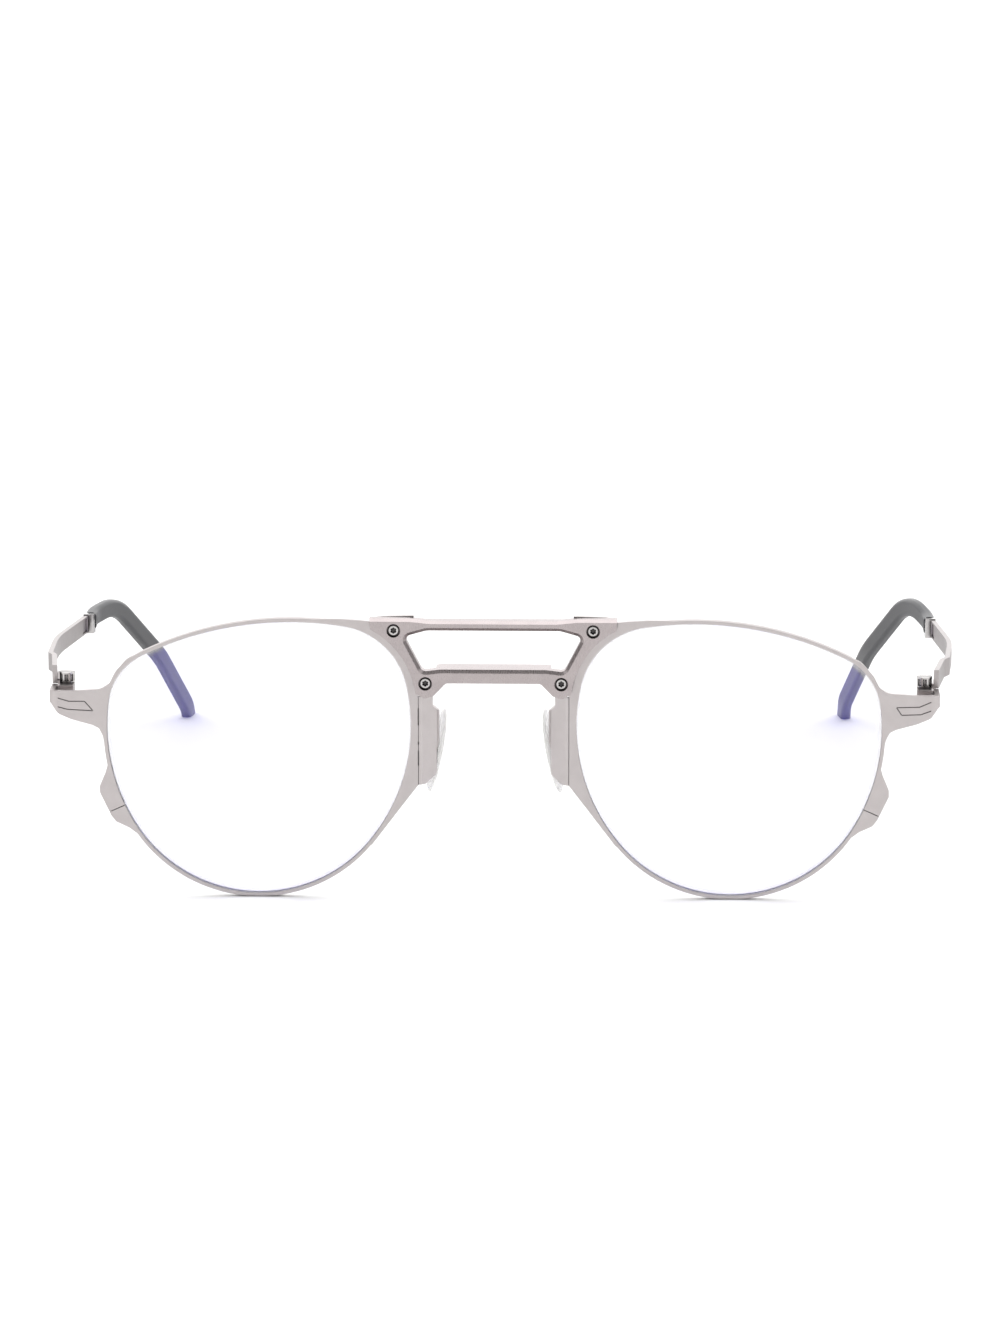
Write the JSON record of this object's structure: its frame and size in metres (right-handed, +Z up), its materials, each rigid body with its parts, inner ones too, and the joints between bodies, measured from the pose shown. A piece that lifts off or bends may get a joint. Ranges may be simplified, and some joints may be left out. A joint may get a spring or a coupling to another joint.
{
  "type": "eyeglasses",
  "caption": "Round wire eyeglasses with a milled double bridge, silicone nose pads and arms that fold on screw hinges.",
  "frame": {"origin": "under the middle of the whole object with the arms open, on the surface it stands on", "axes": "+Z up, arms run back along +Y, +X to the viewer's right when the front is seen"},
  "size_m": [0.148, 0.1434, 0.0452],
  "materials": {
    "frame_metal": "satin champagne grey",
    "bridge_metal": "fine satin, slightly pink",
    "polished_metal": "polished",
    "lens_glass": "clear with a faint violet coating",
    "pad_silicone": "translucent, slightly frosted",
    "tip_plastic": "dark grey, polished"
  },
  "bodies": {
    "front": {"front_bridge": "bridge_metal", "bridge_screw_upper_left": "polished_metal", "bridge_bush_upper_left": "polished_metal", "bridge_screw_upper_right": "polished_metal", "bridge_bush_upper_right": "polished_metal", "bridge_screw_lower_left": "polished_metal", "bridge_bush_lower_left": "polished_metal", "bridge_screw_lower_right": "polished_metal", "bridge_bush_lower_right": "polished_metal", "left_rim": "frame_metal", "left_lens": "lens_glass", "left_nose_pad": "pad_silicone", "left_rim_lock_upper": "frame_metal", "left_rim_lock_lower": "frame_metal", "left_rim_lock_screw": "polished_metal", "left_hinge_front_leaf": "frame_metal", "left_hinge_screw": "polished_metal", "left_hinge_washers": "polished_metal", "right_rim": "frame_metal", "right_lens": "lens_glass", "right_nose_pad": "pad_silicone", "right_rim_lock_upper": "frame_metal", "right_rim_lock_lower": "frame_metal", "right_rim_lock_screw": "polished_metal", "right_hinge_front_leaf": "frame_metal", "right_hinge_screw": "polished_metal", "right_hinge_washers": "polished_metal"},
    "left_temple": {"left_hinge_temple_leaf": "frame_metal", "left_temple_arm": "frame_metal", "left_ferrule": "polished_metal", "left_temple_tip": "tip_plastic"},
    "right_temple": {"right_hinge_temple_leaf": "frame_metal", "right_temple_arm": "frame_metal", "right_ferrule": "polished_metal", "right_temple_tip": "tip_plastic"}
  },
  "joints": [
    {"name": "right_temple_fold", "type": "hinge", "parent": "front", "child": "right_temple", "pos_m": [0.0676, -0.0623, 0.0315], "axis": [0, 0, 1], "range_deg": [0, 88]},
    {"name": "left_temple_fold", "type": "hinge", "parent": "front", "child": "left_temple", "pos_m": [-0.0676, -0.0623, 0.0315], "axis": [0, 0, -1], "range_deg": [0, 84]}
  ]
}
